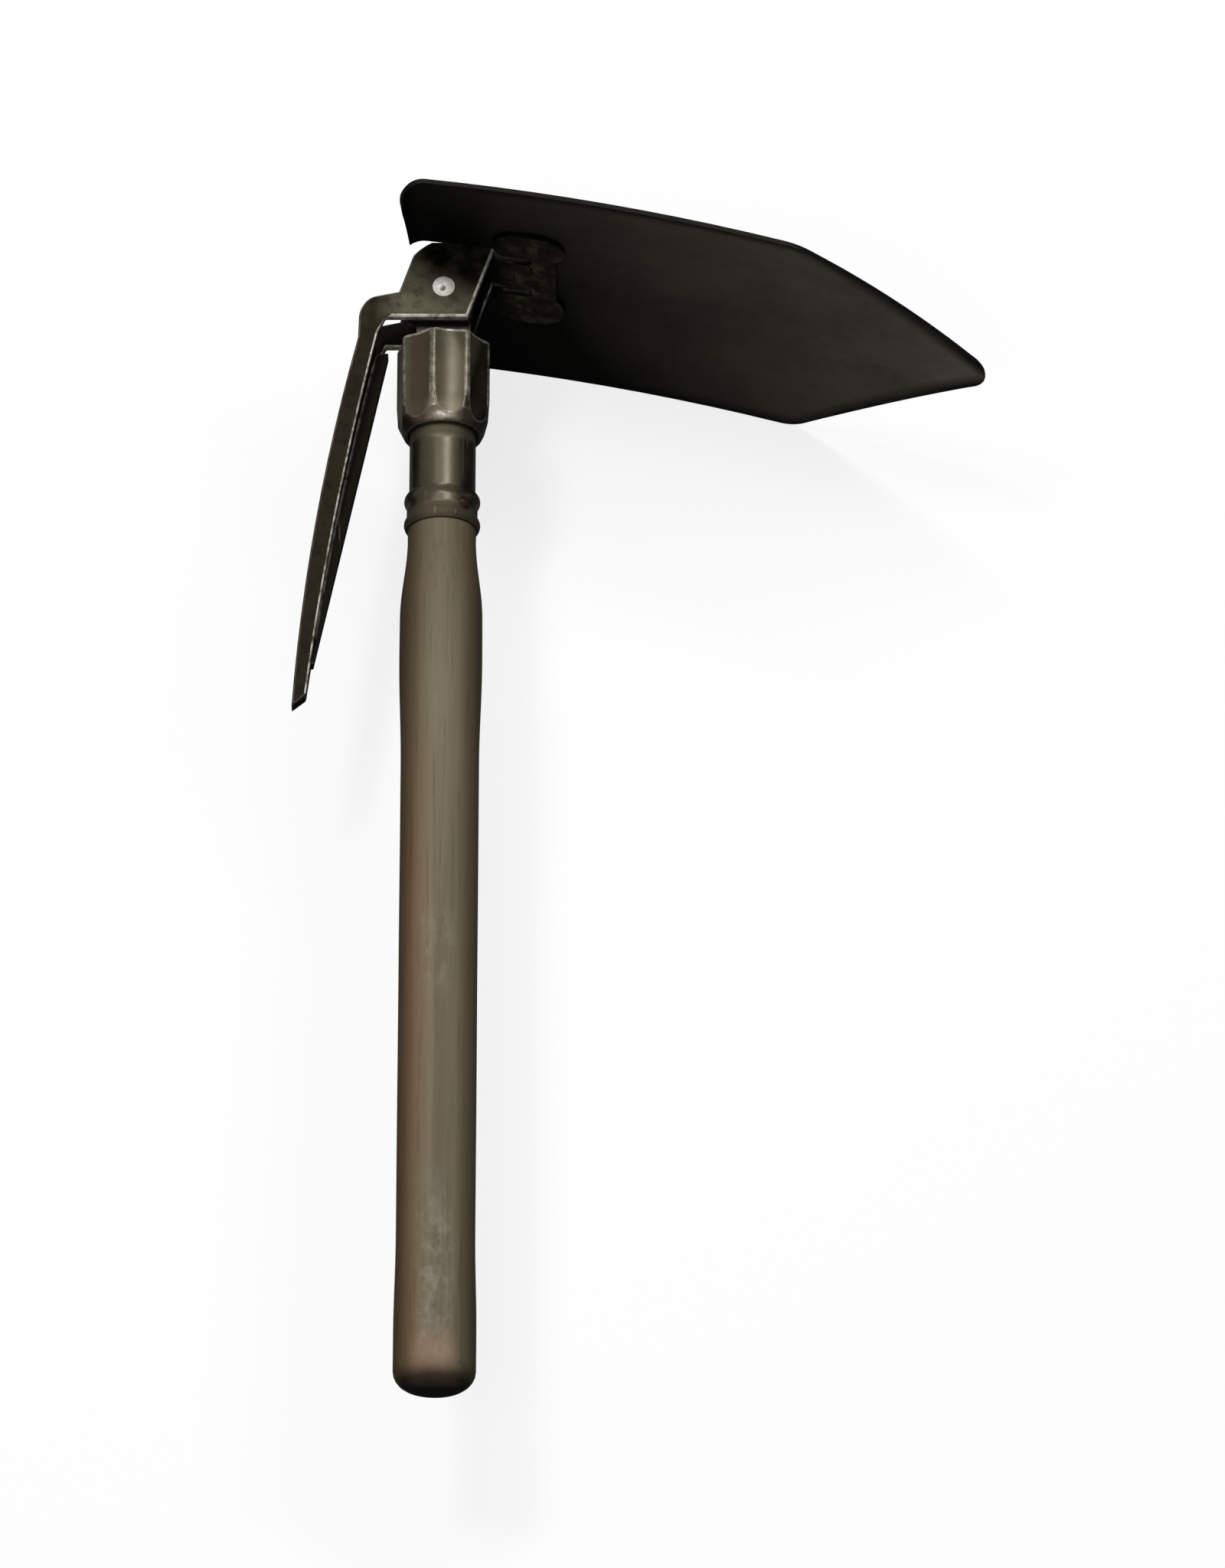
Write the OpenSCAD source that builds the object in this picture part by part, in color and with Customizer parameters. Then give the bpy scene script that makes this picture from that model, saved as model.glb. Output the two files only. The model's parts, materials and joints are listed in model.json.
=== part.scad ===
// Folding camp shovel with a folding pick and a screw collar that locks both.
// The tool lies on its side: +Y runs along the handle to the head, +X is the
// side the blade points to and +Z is along the hinge rivet. The origin is the
// centre of the handle's butt end.

/* [Handle] */
// Length from the butt end to the hinge rivet's axis
pivot_h = 480; // [440:1:540]
// Radius of the butt's straight band
butt_r = 16.5; // [15:0.1:17.5]
// Radius along the grip
grip_r = 15.8; // [14:0.1:16.5]
// Radius of the swell below the ferrule
swell_r = 16.8; // [15.5:0.1:18]
// Radius of the neck where the wood enters the ferrule
neck_r = 13.8; // [13:0.1:14]
// Edge rounding of the butt end
butt_round = 6.5; // [4:0.5:9]
// Length of the butt's straight band
butt_band = 14; // [10:1:20]

/* [Ferrule] */
// Outer radius of the ferrule tube
tube_r = 13.4; // [13:0.1:13.6]
// Wall of the ferrule tube
tube_wall = 1.6; // [1.2:0.1:2]
// Outer radius of the threaded neck
thread_r = 13.8; // [13.6:0.1:14]
// Depth of the ferrule's top below the rivet's axis
tube_top_drop = 24; // [23:0.5:27]
// Depth of the ferrule's rim below the rivet's axis
rim_drop = 104; // [101:0.5:112]
// Length of the wooden tenon inside the ferrule
tenon_len = 32; // [24:1:36]
// Outer radius of the flared skirt between the beads
skirt_r = 14.3; // [14:0.1:14.6]
// Radius of a bead's own round section
bead_r = 2.6; // [2:0.1:3]

/* [Collar] */
// Outer radius of the locking collar
collar_r = 19.3; // [18.5:0.1:19.6]
// Length of the locking collar
collar_len = 41.5; // [38:0.5:44]
// Gap from the collar's top to the flats when it is loosened
collar_back = 6.2; // [6.2:0.1:7.5]
// Number of flutes round the collar
flutes = 8; // [6:1:10]
// Depth of a flute
flute_depth = 2.2; // [1.4:0.1:2.3]
// Radius that a flute is cut with
flute_r = 24; // [18:1:26]

/* [Hinge] */
// Distance from the rivet's axis to every locking flat
flat_h = 13.8; // [13.2:0.1:14]
// Half thickness of the hinge post
post_half = 7; // [6.5:0.1:7]
// Radius of the post's eye
eye_r = 12; // [11:0.1:12.5]
// Thickness of a bracket cheek
cheek_t = 3.8; // [3.2:0.1:4]
// Thickness of a pick ear
ear_t = 4; // [3.4:0.1:4]
// Side clearance between neighbouring hinge leaves
leaf_gap = 0.3; // [0.2:0.05:0.3]
// Radius of the rivet's shank
rivet_r = 3.6; // [3.2:0.1:3.8]
// Radius of the rivet's head
rivet_head_r = 4.5; // [4.2:0.1:6]
// Height of the rivet's head
rivet_head_h = 1.8; // [1.2:0.1:2.5]
// Radial clearance of a hinge bore
bore_gap = 0.15; // [0.1:0.05:0.25]

/* [Pick] */
// Radius of the rounded part of a pick ear
ear_r = 24; // [23.5:0.1:24.5]
// Height of a pick ear's top above the rivet's axis
ear_top = 20.4; // [19:0.1:21]
// Turn from the folded pick to its working position
pick_turn = 71.2; // [66:0.1:72]
// Reach of the pick's tip below the rivet's axis
pick_drop = 184; // [165:1:200]
// Distance of the pick's tip from the handle's axis
pick_out = 59.8; // [56:0.1:63]
// Half width of the pick at its tip
tip_half = 3.2; // [2.5:0.1:5]
// Bow of the pick's outer edge
pick_bow = 3.7; // [2:0.1:6]
// Thickness of the pick's stiffening rib
rib_t = 6; // [4:0.5:8]

/* [Blade] */
// Width of the blade
blade_w = 156; // [146:1:164]
// Reach of the blade's point from the rivet's axis
point_x = 220; // [205:0.5:235]
// Reach of the shoulders where the point begins
shoulder_x = 143; // [130:0.5:155]
// Thickness of the blade's sheet
sheet_t = 2.2; // [1.8:0.1:2.6]
// Height of the sheet's middle above the rivet's axis
sheet_h = 20.8; // [20:0.1:22]
// Fall of the sheet at the rivet, in degrees
sheet_fall = 6.7; // [6:0.1:7.5]
// Radius of the sheet's curve along its length
bow_r = 960; // [900:10:1200]
// Radius of the sheet's dish across its width
dish_r = 460; // [400:2:600]
// Reach of the turned rear edge behind the rivet's axis
rear_x = 18; // [17:0.1:18.5]
// Radius of the turned rear edge
lip_r = 10; // [9:0.1:11]
// Turn from the hoe position to the folded blade
fold_turn = 75; // [74:0.5:76]
// Turn from the hoe position to the straight blade
straight_turn = 101.5; // [100:0.5:103]

/* [Bracket] */
// Radius of a bracket cheek's round corners
cheek_r = 19; // [18:0.1:19.2]
// Thickness of the bracket's base
base_t = 3; // [2.5:0.1:3.2]
// Radius of a base lobe
lobe_r = 11.5; // [10:0.1:12]
// Distance of a lobe's centre from the middle
lobe_y = 25; // [23:0.5:26]
// Reach of a lobe's centre from the rivet's axis
lobe_x = 37.5; // [36:0.5:40]
// Length of a lobe's straight side
lobe_side = 6.5; // [5:0.5:8]
// Radius of a bracket rivet
base_rivet_r = 2.5; // [2:0.1:3]

/* [Hidden] */
$fn = 96;
// Longer than any part of the head
huge = 400;
// Overrun of a cut past the face it opens
over = 1;

// Fits
seat_gap = 0.05;
pass_gap = 0.7;

// Handle, from its butt end and from the ferrule's rim
butt_ease = 3;
butt_taper = 40;
grip_end_drop = 105;
swell_low_drop = 58;
swell_high_drop = 40;
neck_drop = 4;

// Leaves of the hinge, from the middle outwards
cheek_in = post_half + leaf_gap;
cheek_out = cheek_in + cheek_t;
ear_in = cheek_out + leaf_gap;
ear_out = ear_in + ear_t;

// Ferrule, post and tenon
bore_r = tube_r - tube_wall;
tenon_r = bore_r - seat_gap;
tenon_top = pivot_h - rim_drop + tenon_len;
bead_low = pivot_h - rim_drop + bead_r;
bead_pitch = 10.6;
bead_proud = 0.95;
post_pin_r = 2;
post_pin_drop = 46;
post_base_drop = 70;
post_side = 11;
stem_r = 2;
stem_head_r = 2.8;
stem_head_h = 1.3;
stem_angle = 40;
stem_z = bead_low + bead_pitch / 2;

// Collar
collar_bore = thread_r + leaf_gap;
collar_top = pivot_h - flat_h - collar_back;
foot_wall = 1.6;
collar_foot_r = collar_bore + foot_wall;
collar_taper = 15.5;
collar_foot = 6;
collar_edge = 0.8;
land_turn = -17;
thread_lap = 4;

// Dimple in the rivet's head
dimple_r = 0.9;
dimple_d = 0.5;

// Notch in the blade for the pick's arms
notch_half = ear_out + pass_gap;
notch_x = 35.4;
notch_round = 4;

// Corners of the blade's outline
rear_round = 9;
rear_sweep = 4;
shoulder_round = 16;
point_round = 16;
point_turn = 52;
point_bow = 1.4;

// Points on the sheet's middle arc, in the plane of the handle
bow_cx = -bow_r * sin(sheet_fall);
bow_cz = sheet_h - bow_r * cos(sheet_fall);
function sheet_z(x) = bow_cz + sqrt(bow_r * bow_r - pow(x - bow_cx, 2));
function sheet_tilt(x) = asin((x - bow_cx) / bow_r);
function ray(tilt) = [sin(tilt), cos(tilt)];
bow_centre = [bow_cx, bow_cz];
lip_x = -7;
lip_sweep = 76;
lip_tilt = sheet_tilt(lip_x);
lip_centre = [lip_x, sheet_z(lip_x)] - lip_r * ray(lip_tilt);
dish_span = 28;

// Bracket's bridge, its base and its rivets
bridge_x = -5;
base_tail = 7;
waist_in = 3.5;
mid_rivet_lead = 3;
mid_rivet_x = lobe_x + mid_rivet_lead;
mid_rivet_y = 6.5;
base_head_r = 4.5;
base_head_h = 1.75;

// Pick's edges, from the rivet's axis
bend = [-34.2, -10.6];
bend_round = 12;
arm_top = [-30.2, -4.9];
arm_round = 7;
arm_foot = [-23.5, -flat_h];
arm_in = [-26.6, -21];
ear_heel = [-17.9, -2.2];
ear_back = 16.4;
ear_eye = [6, -1];
ear_mid = [-8, 0];
flat_start = -20;
shank_out = [-34.6, -23];
shank_in = [-28.9, -31];
inner_bow = 1.9;
tip_out = [-pick_out, -pick_drop];
tip_slant = [5.8, 5];
tip_in = tip_out + tip_slant;
rib_top = [-21.4, -20];
rib_end = [-51.3, -165];
rib_root = [-5, 0];
fork_z = -24;
fork_round = 4;
root_z = -20;

// Points of an arc from p to q that bows to the left of the way by sag
function bowed(p, q, sag, n = 12) =
    let (d = q - p, len = norm(d), nrm = [-d[1], d[0]] / len)
    [for (i = [0 : n]) let (t = i / n) p + d * t + nrm * sag * 4 * t * (1 - t)];

// Corner points of a closed outline, each rounded with its own radius
function unit(v) = v / norm(v);
function corner(a, b, c, r, n = 6) =
    r == 0 ? [b] :
    let (u = unit(a - b), v = unit(c - b), half = acos(u * v) / 2,
         mid = b + unit(u + v) * r / sin(half),
         p = b + u * r / tan(half) - mid, q = b + v * r / tan(half) - mid,
         turn = acos(max(-1, min(1, unit(p) * unit(q)))),
         way = p[0] * q[1] - p[1] * q[0] > 0 ? 1 : -1)
    [for (i = [0 : n]) let (s = way * turn * i / n)
        mid + [p[0] * cos(s) - p[1] * sin(s), p[0] * sin(s) + p[1] * cos(s)]];
function rounded(pts, radii) =
    let (n = len(pts))
    [for (i = [0 : n - 1])
        each corner(pts[(i + n - 1) % n], pts[i], pts[(i + 1) % n], radii[i])];

// Handle's radius between two heights, eased at both ends
function ease(z0, r0, z1, r1, n = 8) =
    [for (i = [1 : n]) let (t = i / n)
        [r0 + (r1 - r0) * (1 - cos(180 * t)) / 2, z0 + (z1 - z0) * t]];

// Stands the tool's own upright shapes on their side
module on_its_side() rotate([-90, 0, 0]) children();

// Moves to the rivet's axis
module at_pivot() translate([0, 0, pivot_h]) children();

// A flat outline in the plane of the handle, as a slab between two sides
module slab(low, high)
    translate([0, high, 0]) rotate([90, 0, 0]) linear_extrude(high - low) children();

// The same slab on both sides of the middle
module both_sides(low, high) {
    slab(low, high) children();
    slab(-high, -low) children();
}

// A straight round bar across the hinge
module cross_bar(r, low, high) translate([0, low, 0]) rotate([-90, 0, 0]) cylinder(r = r, h = high - low);

// A shallow dome of a given radius and height, base at zero
module dome(r, h) {
    ball = (r * r + h * h) / (2 * h);
    intersection() {
        translate([0, 0, h - ball]) sphere(r = ball);
        cylinder(r = r, h = h + over);
    }
}

// What a locking flat takes off, for a leaf that turns to this position
module below_flat(turn, reach)
    rotate(turn) translate([-huge, -flat_h - huge]) square([huge + reach, huge]);

module wooden_handle() {
    rim_z = pivot_h - rim_drop;
    band_top = butt_round + butt_ease + butt_band;
    grip_low = band_top + butt_taper;
    grip_high = rim_z - grip_end_drop;
    swell_low = rim_z - swell_low_drop;
    swell_high = rim_z - swell_high_drop;
    round_pts = [for (i = [0 : 6]) let (s = 90 * i / 6)
        [butt_r - butt_round + butt_round * sin(s), butt_round - butt_round * cos(s)]];
    profile = concat(
        [[0, 0]], round_pts, [[butt_r, band_top]],
        ease(band_top, butt_r, grip_low, grip_r),
        ease(grip_high, grip_r, swell_low, swell_r, 10),
        ease(swell_high, swell_r, rim_z - neck_drop, neck_r, 10),
        [[neck_r, rim_z - seat_gap], [tenon_r, rim_z - seat_gap]],
        [[tenon_r, tenon_top], [0, tenon_top]]);
    color("#6b5f3c") difference() {
        rotate_extrude() polygon(profile);
        translate([0, 0, stem_z]) rotate([0, 0, stem_angle])
            cross_bar(stem_r + seat_gap, -swell_r, swell_r);
    }
}

module ferrule() {
    rim_z = pivot_h - rim_drop;
    top_z = pivot_h - tube_top_drop;
    thread_z = collar_top - collar_len + thread_lap;
    skirt_top = bead_low + bead_pitch;
    color("#5a573f") difference() {
        union() {
            translate([0, 0, rim_z]) cylinder(r = tube_r, h = top_z - rim_z);
            translate([0, 0, thread_z]) cylinder(r = thread_r, h = top_z - thread_z);
            translate([0, 0, rim_z]) cylinder(r = skirt_r, h = skirt_top - rim_z);
            for (z = [bead_low, skirt_top])
                translate([0, 0, z]) rotate_extrude()
                    translate([skirt_r + bead_proud - bead_r, 0]) circle(r = bead_r, $fn = 48);
        }
        translate([0, 0, rim_z - over]) cylinder(r = bore_r, h = rim_drop);
        translate([0, 0, rim_z - bead_r]) cylinder(r = neck_r + 2 * bead_r, h = bead_r);
        translate([0, 0, stem_z]) rotate([0, 0, stem_angle])
            cross_bar(stem_r + seat_gap, -swell_r, swell_r);
        translate([0, 0, pivot_h - post_pin_drop]) rotate([0, 0, 90])
            cross_bar(post_pin_r + seat_gap, -swell_r, swell_r);
    }
}

module ferrule_rivet() {
    color("#4a4836") translate([0, 0, stem_z]) rotate([0, 0, stem_angle]) {
        cross_bar(stem_r, -skirt_r - seat_gap, skirt_r + seat_gap);
        for (s = [90, -90])
            rotate([s, 0, 0]) translate([0, 0, skirt_r + seat_gap]) dome(stem_head_r, stem_head_h);
    }
}

module hinge_post() {
    shank_low = pivot_h - post_base_drop;
    shank_top = pivot_h - tube_top_drop;
    color("#3c3b30") difference() {
        union() {
            at_pivot() cross_bar(eye_r, -post_half, post_half);
            translate([-post_side, -post_half, shank_top - over])
                cube([2 * post_side, 2 * post_half, tube_top_drop + over]);
            translate([0, 0, shank_low]) cylinder(r = bore_r - seat_gap, h = shank_top - shank_low);
        }
        at_pivot() cross_bar(rivet_r + bore_gap, -post_half - over, post_half + over);
        translate([0, 0, pivot_h - post_pin_drop]) rotate([0, 0, 90])
            cross_bar(post_pin_r + seat_gap, -swell_r, swell_r);
    }
}

module post_pin() {
    color("#6d6c66") translate([0, 0, pivot_h - post_pin_drop]) rotate([0, 0, 90])
        cross_bar(post_pin_r, -thread_r + leaf_gap, thread_r - leaf_gap);
}

module pivot_rivet() {
    seat = ear_out + seat_gap;
    color("#c9c9c4") at_pivot() difference() {
        union() {
            cross_bar(rivet_r, -seat, seat);
            for (s = [90, -90])
                rotate([s, 0, 0]) translate([0, 0, seat]) dome(rivet_head_r, rivet_head_h);
        }
        rotate([90, 0, 0]) translate([0, 0, seat + rivet_head_h - dimple_d])
            cylinder(r = dimple_r, h = dimple_d + over);
    }
}

module locking_collar() {
    profile = [[collar_bore, 0], [collar_foot_r, 0], [collar_r - collar_edge, collar_foot],
               [collar_r, collar_taper], [collar_r, collar_len - collar_edge],
               [collar_r - collar_edge, collar_len], [collar_bore, collar_len]];
    color("#5d5a42") translate([0, 0, collar_top - collar_len]) difference() {
        rotate_extrude() polygon(profile);
        for (i = [0 : flutes - 1])
            rotate([0, 0, land_turn + 360 * (i + 0.5) / flutes])
                translate([0, -(collar_r - flute_depth + flute_r), -over])
                    cylinder(r = flute_r, h = collar_len + 2 * over);
    }
}

// A band round a centre, between two heights off an arc and between two tilts
module arc_band(centre, r, low, high, from, to) {
    far = 1.5 * (r + high);
    translate(centre) intersection() {
        difference() {
            circle(r = r + high);
            circle(r = r + low);
        }
        polygon(concat([[0, 0]], [for (i = [0 : 4]) far * ray(from + (to - from) * i / 4)]));
    }
}

// A band that follows the sheet's curve, between two heights off its middle
module sheet_band(low, high, from, to) arc_band(bow_centre, bow_r, low, high, from, to, $fn = 1440);

// The turned rear edge of the sheet
module lip_band(low, high) arc_band(lip_centre, lip_r, low, high, lip_tilt - lip_sweep, lip_tilt);

// Sweeps a band across the blade's dish
module dished()
    translate([0, 0, sheet_h - dish_r]) rotate([0, -90, 0]) rotate([180, 0, dish_span / 2])
        rotate_extrude(angle = dish_span, $fn = 1080)
            translate([dish_r - sheet_h, 0]) rotate(90) mirror([0, 1]) children();

// The blade seen square to its face
module blade_outline() {
    side = blade_w / 2;
    point_top = [point_x - point_round + point_round * cos(point_turn), point_round * sin(point_turn)];
    edge = bowed([shoulder_x, side], point_top, point_bow, 8);
    rear_corner = [-rear_x, side];
    rear_mid = [-rear_x + rear_sweep, notch_half];
    tip = [for (i = [1 : 3]) let (s = point_turn * (1 - i / 4))
        [point_x - point_round, 0] + point_round * [cos(s), sin(s)]];
    half = concat([rear_mid],
                  corner(rear_mid, rear_corner, edge[0], rear_round),
                  corner(rear_corner, edge[0], edge[1], shoulder_round),
                  [for (i = [2 : 8]) edge[i]], tip);
    far_half = [for (i = [len(half) - 1 : -1 : 0]) [half[i][0], -half[i][1]]];
    difference() {
        polygon(concat(half, [[point_x, 0]], far_half));
        slot_outline(notch_half, notch_x, notch_round);
    }
}

// A slot from behind the blade up to a reach, with rounded inner corners
module slot_outline(half, reach, r)
    polygon(rounded([[-huge, -half], [reach, -half], [reach, half], [-huge, half]], [0, r, r, 0]));

// Places of the bracket rivets on the blade
rivet_spots = [[lobe_x, lobe_y], [lobe_x, -lobe_y],
               [mid_rivet_x, mid_rivet_y], [mid_rivet_x, -mid_rivet_y]];

// Stands a child on the sheet at a rivet's place, square to the sheet
module at_spot(p) {
    swing = asin(p[1] / dish_r);
    translate([0, 0, sheet_h - dish_r]) rotate([-swing, 0, 0])
        translate([p[0], 0, dish_r - sheet_h + sheet_z(p[0])]) rotate([0, sheet_tilt(p[0]), 0]) children();
}

module blade_plate() {
    color("#1b1b1a") at_pivot() difference() {
        intersection() {
            dished() {
                sheet_band(-sheet_t / 2, sheet_t / 2, lip_tilt, sheet_tilt(point_x) + over);
                lip_band(-sheet_t / 2, sheet_t / 2);
            }
            translate([0, 0, -huge / 2]) linear_extrude(huge) blade_outline();
        }
        for (p = rivet_spots)
            at_spot(p) translate([0, 0, -sheet_t]) cylinder(r = base_rivet_r + seat_gap, h = 2 * sheet_t);
    }
}

// Side view of a cheek, with its three flats
module cheek_outline() {
    top = sheet_t / 2;
    difference() {
        union() {
            circle(r = cheek_r);
            polygon([[bridge_x, 0], [bridge_x, sheet_z(bridge_x) + top],
                     [notch_x - pass_gap, sheet_z(notch_x) + top], [notch_x - pass_gap, 0]]);
        }
        below_flat(0, huge);
        below_flat(-straight_turn, huge);
        below_flat(fold_turn, collar_r + pass_gap);
        circle(r = rivet_r + bore_gap);
    }
}

module blade_bracket() {
    top = sheet_t / 2;
    base_high = -sheet_t / 2 - seat_gap;
    base_low = base_high - base_t;
    lobe_start = lobe_x - lobe_side - lobe_r;
    lobe_end = lobe_x + lobe_r;
    tail_x = notch_x - base_tail;
    bar_x = lobe_end - waist_in;
    color("#1f1f1d") at_pivot() difference() {
        union() {
            both_sides(cheek_in, cheek_out) cheek_outline();
            slab(-cheek_out, cheek_out) difference() {
                polygon([[bridge_x, sheet_z(bridge_x) + top], [notch_x - pass_gap, sheet_z(notch_x) + top],
                         [notch_x - pass_gap, sheet_z(notch_x) + top - cheek_t],
                         [bridge_x, sheet_z(bridge_x) + top - cheek_t]]);
                below_flat(fold_turn, collar_r + pass_gap);
            }
            intersection() {
                dished()
                    sheet_band(base_low, base_high, sheet_tilt(lobe_start) - over,
                               sheet_tilt(lobe_end) + over);
                translate([0, 0, -huge / 2]) linear_extrude(huge) {
                    translate([tail_x, -cheek_out]) square([bar_x - tail_x, 2 * cheek_out]);
                    difference() {
                        union() {
                            for (s = [-1, 1]) translate([lobe_x - lobe_side, s * lobe_y]) {
                                circle(r = lobe_r);
                                translate([lobe_side, 0]) circle(r = lobe_r);
                                translate([0, -lobe_r]) square([lobe_side, 2 * lobe_r]);
                            }
                            translate([notch_x, -lobe_y]) square([bar_x - notch_x, 2 * lobe_y]);
                        }
                        translate([-huge, -notch_half]) square([huge + notch_x, 2 * notch_half]);
                    }
                }
            }
        }
        for (p = rivet_spots)
            at_spot(p) translate([0, 0, -sheet_t - 2 * base_t])
                cylinder(r = base_rivet_r + seat_gap, h = 3 * base_t);
    }
}

module bracket_rivets() {
    outer = sheet_t / 2 + 2 * seat_gap;
    inner = -sheet_t / 2 - base_t - 3 * seat_gap;
    color("#232321") at_pivot() for (p = rivet_spots) at_spot(p) {
        translate([0, 0, inner]) cylinder(r = base_rivet_r, h = outer - inner);
        translate([0, 0, outer]) dome(base_head_r, base_head_h);
        translate([0, 0, inner]) rotate([180, 0, 0]) dome(base_head_r, base_head_h);
    }
}

// Side view of the pick without its ears' flats
module pick_side() {
    intersection() {
        translate(ear_eye) circle(r = ear_r);
        translate([-huge, -huge]) square([2 * huge, huge + ear_top]);
        rotate(pick_turn) translate([-huge, -huge]) square([2 * huge, huge + ear_back]);
    }
    polygon(concat([ear_mid, ear_heel], corner(ear_heel, arm_top, bend, arm_round),
                   corner(arm_top, bend, shank_out, bend_round),
                   bowed(shank_out, tip_out, -pick_bow), bowed(tip_in, shank_in, inner_bow),
                   [arm_in, arm_foot, [0, -flat_h]]));
}

module pick_head() {
    wedge = [[-ear_out, huge], [-ear_out, root_z], [-tip_half, -pick_drop], [tip_half, -pick_drop],
             [ear_out, root_z], [ear_out, huge]];
    color("#4b4630") at_pivot() difference() {
        union() {
            intersection() {
                slab(-ear_out, ear_out) pick_side();
                translate([-huge / 2, 0, 0]) rotate([90, 0, 90]) linear_extrude(huge) polygon(wedge);
            }
            slab(-rib_t / 2, rib_t / 2)
                polygon([rib_top, rib_end, rib_end + rib_root, shank_in + rib_root]);
        }
        slab(-ear_out - over, ear_out + over) {
            below_flat(pick_turn, huge);
            circle(r = rivet_r + bore_gap);
            translate([flat_start, -flat_h - ear_r]) square([huge, ear_r]);
        }
        translate([-huge / 2, 0, 0]) rotate([90, 0, 90]) linear_extrude(huge)
            polygon(rounded([[-ear_in, fork_z], [ear_in, fork_z], [ear_in, huge], [-ear_in, huge]],
                            [fork_round, fork_round, 0, 0]));
    }
}

on_its_side() wooden_handle();
on_its_side() ferrule();
on_its_side() ferrule_rivet();
on_its_side() hinge_post();
on_its_side() post_pin();
on_its_side() pivot_rivet();
on_its_side() locking_collar();
on_its_side() blade_plate();
on_its_side() blade_bracket();
on_its_side() bracket_rivets();
on_its_side() pick_head();
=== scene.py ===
import json
import math

import bmesh
import bpy
from mathutils import Matrix, Vector, noise
from mathutils.geometry import intersect_point_line

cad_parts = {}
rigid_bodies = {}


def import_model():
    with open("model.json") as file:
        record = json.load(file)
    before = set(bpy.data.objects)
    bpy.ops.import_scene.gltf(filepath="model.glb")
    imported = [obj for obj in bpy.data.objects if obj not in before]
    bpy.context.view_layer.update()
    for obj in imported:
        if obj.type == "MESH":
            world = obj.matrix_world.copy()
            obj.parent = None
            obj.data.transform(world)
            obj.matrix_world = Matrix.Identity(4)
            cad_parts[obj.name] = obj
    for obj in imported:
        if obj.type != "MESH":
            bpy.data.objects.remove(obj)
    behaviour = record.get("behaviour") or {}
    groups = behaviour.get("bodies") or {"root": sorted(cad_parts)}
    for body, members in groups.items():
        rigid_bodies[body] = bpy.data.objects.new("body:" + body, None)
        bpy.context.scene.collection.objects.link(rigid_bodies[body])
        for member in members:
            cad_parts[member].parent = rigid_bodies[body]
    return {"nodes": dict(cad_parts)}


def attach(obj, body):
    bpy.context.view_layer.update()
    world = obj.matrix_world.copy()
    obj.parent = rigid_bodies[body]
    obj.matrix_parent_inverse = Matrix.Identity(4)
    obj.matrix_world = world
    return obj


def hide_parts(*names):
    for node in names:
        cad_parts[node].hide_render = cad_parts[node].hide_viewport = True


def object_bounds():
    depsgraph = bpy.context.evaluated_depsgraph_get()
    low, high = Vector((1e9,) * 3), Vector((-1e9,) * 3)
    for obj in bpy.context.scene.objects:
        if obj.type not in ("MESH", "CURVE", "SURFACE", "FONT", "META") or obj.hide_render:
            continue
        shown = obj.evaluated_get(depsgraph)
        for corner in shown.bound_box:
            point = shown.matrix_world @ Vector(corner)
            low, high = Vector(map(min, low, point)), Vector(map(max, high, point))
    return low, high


for leftover in list(bpy.data.objects):
    bpy.data.objects.remove(leftover)

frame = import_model()
nodes = frame["nodes"]
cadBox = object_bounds()
scene = bpy.context.scene
scene.view_settings.view_transform = "Standard"
hinge = Vector((0.0, 0.48, 0.0))         # the rivet that blade and pick fold on
white = (1.0, 1.0, 1.0, 1.0)
print("frame loaded,", len(nodes), "nodes")


# small helpers for shader trees: a dictionary of sockets takes numbers or links
def plug(tree, node, sockets):
    for key, value in sockets.items():
        if isinstance(value, bpy.types.NodeSocket):
            tree.links.new(value, node.inputs[key])
        else:
            node.inputs[key].default_value = value


def put(tree, kind, sockets=None, **settings):
    made = tree.nodes.new(kind)
    for key, value in settings.items():
        setattr(made, key, value)
    plug(tree, made, sockets or {})
    return made


def clearTree(owner):
    owner.use_nodes = True
    owner.node_tree.nodes.clear()
    return owner.node_tree


def paint(red, green, blue):
    def toLinear(level):
        level /= 255.0
        return level / 12.92 if level <= 0.04045 else ((level + 0.055) / 1.055) ** 2.4
    return (toLinear(red), toLinear(green), toLinear(blue), 1.0)


def calc(tree, operation, first, second=0.0, clamp=False):
    return put(tree, "ShaderNodeMath", {0: first, 1: second}, operation=operation,
               use_clamp=clamp).outputs[0]


def times(tree, amount, *others):
    for other in others:
        amount = calc(tree, "MULTIPLY", amount, other)
    return amount


def largest(tree, first, second, clamp=False):
    return calc(tree, "MAXIMUM", first, second, clamp)


def objectPlace(tree):
    where = put(tree, "ShaderNodeTexCoord").outputs["Object"]
    parts = put(tree, "ShaderNodeSeparateXYZ", {0: where}).outputs
    return {axis: parts[axis] for axis in "XYZ"}


shiftLean = (1.0, 0.7, 1.3)              # how a pattern's shift spreads over the axes


def speckle(tree, detail, rough, shift, scale=1.0, stretch=(1.0, 1.0, 1.0), swirl=0.0):
    where = put(tree, "ShaderNodeTexCoord").outputs["Object"]
    placed = put(tree, "ShaderNodeMapping", {
        "Vector": where, "Scale": stretch, "Location": [shift * share for share in shiftLean]})
    made = put(tree, "ShaderNodeTexNoise", {
        "Vector": placed.outputs[0], "Scale": scale, "Detail": detail, "Roughness": rough,
        "Distortion": swirl})
    return made.outputs["Fac"]


def band(tree, value, low, high, under=0.0, over=1.0):
    return put(tree, "ShaderNodeMapRange", {
        "Value": value, "From Min": low, "From Max": high, "To Min": under, "To Max": over},
        clamp=True).outputs[0]


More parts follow.
